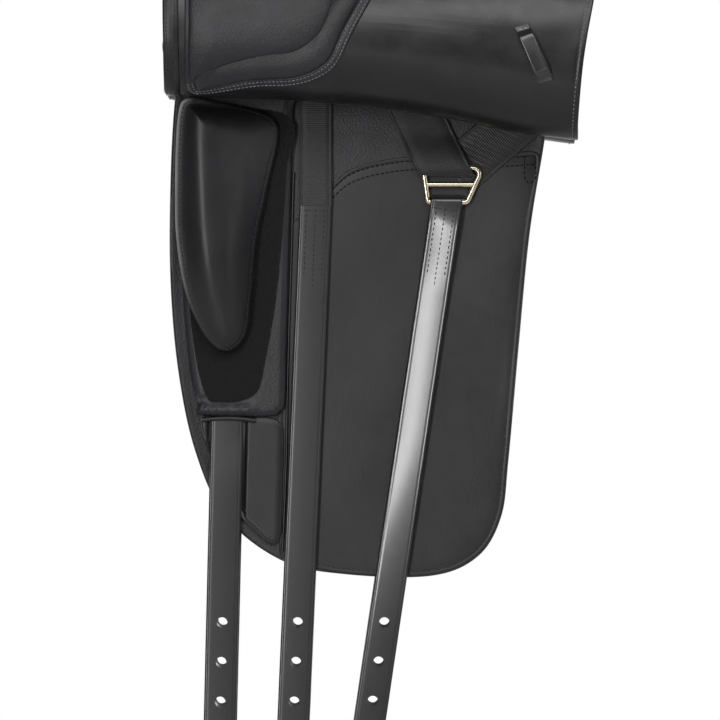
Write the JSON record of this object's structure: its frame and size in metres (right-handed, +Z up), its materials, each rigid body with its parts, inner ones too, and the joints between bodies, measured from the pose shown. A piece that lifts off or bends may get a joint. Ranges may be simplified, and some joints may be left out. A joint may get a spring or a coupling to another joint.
{
  "type": "english saddle",
  "caption": "Dressage saddle on a spring tree, its flaps rolled up over the sweat flaps, with knee blocks, webbing and girth straps that hang and swing.",
  "frame": {"origin": "bearing point of the two panels on the symmetry plane, where the saddle rests on a back or rack", "axes": "+X to the cantle (rear), +Z up, -Y to the near (left) side"},
  "size_m": [0.43, 0.5432, 0.8618],
  "materials": {
    "flap_leather": "smooth black calf leather, waxed",
    "grain_leather": "soft grained black leather over foam",
    "block_leather": "soft black leather moulded over foam",
    "seat_leather": "soft black seat leather",
    "strap_leather": "firm black bridle leather, edge dyed",
    "web_black": "black nylon webbing, ribbed",
    "loop_pile": "black loop pile",
    "hook_plastic": "black nylon hooks",
    "foam": "open cell foam",
    "tree_wood": "laminated beech",
    "tree_steel": "spring steel",
    "bar_steel": "forged stainless steel",
    "nickel": "polished nickel plate"
  },
  "bodies": {
    "saddle": {"seat_cover": "seat_leather", "tree_frame": "tree_wood", "head_plate": "tree_steel", "gullet_plate": "tree_steel", "tree_rivets": "tree_steel", "spring_steels": "tree_steel", "seat_webbing": "web_black", "seat_foam": "foam", "seat_welt": "strap_leather", "channel_lining": "web_black", "point_pockets": "strap_leather", "dee_staples": "nickel", "saddle_nails": "nickel", "panel_near": "grain_leather", "panel_off": "grain_leather", "sweat_flap_near": "flap_leather", "sweat_flap_off": "flap_leather", "lower_pad_near": "grain_leather", "lower_pad_off": "grain_leather", "front_pad_near": "grain_leather", "front_pad_off": "grain_leather", "loop_patch_near": "loop_pile", "loop_patch_off": "loop_pile", "strap_webbing_near": "web_black", "strap_webbing_off": "web_black", "middle_web_top_near": "web_black", "middle_web_top_off": "web_black", "v_webbing_near": "web_black", "v_webbing_off": "web_black", "stirrup_bar_near": "bar_steel", "stirrup_bar_off": "bar_steel"},
    "flap_near": {"flap_near": "flap_leather", "flap_pad_near": "grain_leather", "keeper_near": "strap_leather"},
    "skirt_near": {"skirt_near": "flap_leather"},
    "knee_block_near": {"knee_block_near": "block_leather", "block_hooks_near": "hook_plastic"},
    "front_billet_near": {"front_billet_near": "strap_leather"},
    "middle_billet_near": {"middle_billet_near": "strap_leather", "middle_webbing_near": "web_black"},
    "v_ring_near": {"v_ring_near": "nickel"},
    "rear_billet_near": {"rear_billet_near": "strap_leather"},
    "bar_catch_near": {"bar_catch_near": "bar_steel"},
    "front_dee_near": {"front_dee_near": "nickel"},
    "flap_off": {"flap_off": "flap_leather", "flap_pad_off": "grain_leather", "keeper_off": "strap_leather"},
    "skirt_off": {"skirt_off": "flap_leather"},
    "knee_block_off": {"knee_block_off": "block_leather", "block_hooks_off": "hook_plastic"},
    "front_billet_off": {"front_billet_off": "strap_leather"},
    "middle_billet_off": {"middle_billet_off": "strap_leather", "middle_webbing_off": "web_black"},
    "v_ring_off": {"v_ring_off": "nickel"},
    "rear_billet_off": {"rear_billet_off": "strap_leather"},
    "bar_catch_off": {"bar_catch_off": "bar_steel"},
    "front_dee_off": {"front_dee_off": "nickel"}
  },
  "joints": [
    {"name": "flap_lift_near", "type": "hinge", "parent": "saddle", "child": "flap_near", "pos_m": [0, -0.105, 0.084], "axis": [-1, 0, 0], "range_deg": [0, 25]},
    {"name": "skirt_lift_near", "type": "hinge", "parent": "flap_near", "child": "skirt_near", "pos_m": [0, -0.105, 0.084], "axis": [-1, 0, 0], "range_deg": [0, 18]},
    {"name": "block_shift_near", "type": "slide", "parent": "saddle", "child": "knee_block_near", "axis": [0, 0, -1], "range_m": [0, 0.03]},
    {"name": "front_billet_swing_near", "type": "hinge", "parent": "saddle", "child": "front_billet_near", "pos_m": [0, -0.15105, -0.2615], "axis": [-1, 0, 0], "range_deg": [0, 80]},
    {"name": "middle_billet_swing_near", "type": "hinge", "parent": "saddle", "child": "middle_billet_near", "pos_m": [0, -0.151, 0.01], "axis": [-1, 0, 0], "range_deg": [0, 55]},
    {"name": "ring_swing_near", "type": "hinge", "parent": "saddle", "child": "v_ring_near", "pos_m": [0, -0.152, -0.0565], "axis": [-1, 0, 0], "range_deg": [0, 45]},
    {"name": "rear_billet_swing_near", "type": "hinge", "parent": "v_ring_near", "child": "rear_billet_near", "pos_m": [0, -0.152, -0.084], "axis": [-1, 0, 0], "range_deg": [0, 40]},
    {"name": "catch_turn_near", "type": "hinge", "parent": "saddle", "child": "bar_catch_near", "pos_m": [-0.066, -0.1205, 0.0645], "axis": [0, -1, 0], "range_deg": [0, 60]},
    {"name": "dee_swing_near", "type": "hinge", "parent": "saddle", "child": "front_dee_near", "pos_m": [-0.158, -0.101, 0.064], "axis": [-1, 0, 0], "range_deg": [0, 90]},
    {"name": "flap_lift_off", "type": "hinge", "parent": "saddle", "child": "flap_off", "pos_m": [0, 0.105, 0.084], "axis": [1, 0, 0], "range_deg": [0, 25]},
    {"name": "skirt_lift_off", "type": "hinge", "parent": "flap_off", "child": "skirt_off", "pos_m": [0, 0.105, 0.084], "axis": [1, 0, 0], "range_deg": [0, 18]},
    {"name": "block_shift_off", "type": "slide", "parent": "saddle", "child": "knee_block_off", "axis": [0, 0, -1], "range_m": [0, 0.03]},
    {"name": "front_billet_swing_off", "type": "hinge", "parent": "saddle", "child": "front_billet_off", "pos_m": [0, 0.15105, -0.2615], "axis": [1, 0, 0], "range_deg": [0, 80]},
    {"name": "middle_billet_swing_off", "type": "hinge", "parent": "saddle", "child": "middle_billet_off", "pos_m": [0, 0.151, 0.01], "axis": [1, 0, 0], "range_deg": [0, 55]},
    {"name": "ring_swing_off", "type": "hinge", "parent": "saddle", "child": "v_ring_off", "pos_m": [0, 0.152, -0.0565], "axis": [1, 0, 0], "range_deg": [0, 45]},
    {"name": "rear_billet_swing_off", "type": "hinge", "parent": "v_ring_off", "child": "rear_billet_off", "pos_m": [0, 0.152, -0.084], "axis": [1, 0, 0], "range_deg": [0, 40]},
    {"name": "catch_turn_off", "type": "hinge", "parent": "saddle", "child": "bar_catch_off", "pos_m": [-0.066, 0.1205, 0.0645], "axis": [0, -1, 0], "range_deg": [0, 60]},
    {"name": "dee_swing_off", "type": "hinge", "parent": "saddle", "child": "front_dee_off", "pos_m": [-0.158, 0.101, 0.064], "axis": [1, 0, 0], "range_deg": [0, 90]}
  ]
}
